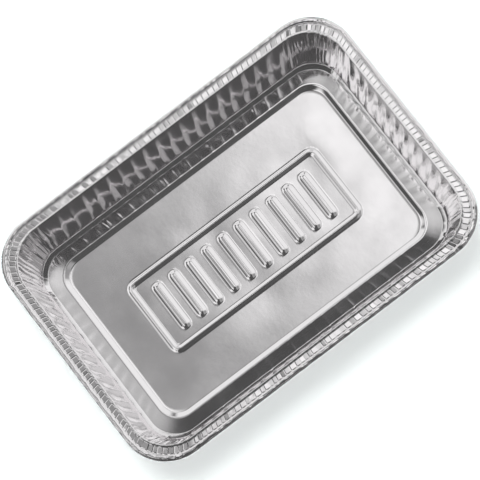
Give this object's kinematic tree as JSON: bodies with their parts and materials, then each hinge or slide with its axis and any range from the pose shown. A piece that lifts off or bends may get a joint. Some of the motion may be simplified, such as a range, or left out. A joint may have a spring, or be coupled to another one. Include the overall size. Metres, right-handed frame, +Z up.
{
  "type": "foil drip pan",
  "caption": "Oblong pressed aluminium-foil drip pan with fluted walls, a crimped flange under a rolled edge and a ribbed floor; catches drips or holds food.",
  "frame": {"origin": "middle of the pan's underside, on the surface it stands on", "axes": "+X along the long side, +Y along the short side, +Z up out of the pan's mouth"},
  "size_m": [0.214, 0.1484, 0.032],
  "materials": {
    "foil": "bright rolled foil"
  },
  "bodies": {
    "root": {"pan": "foil"}
  },
  "joints": []
}
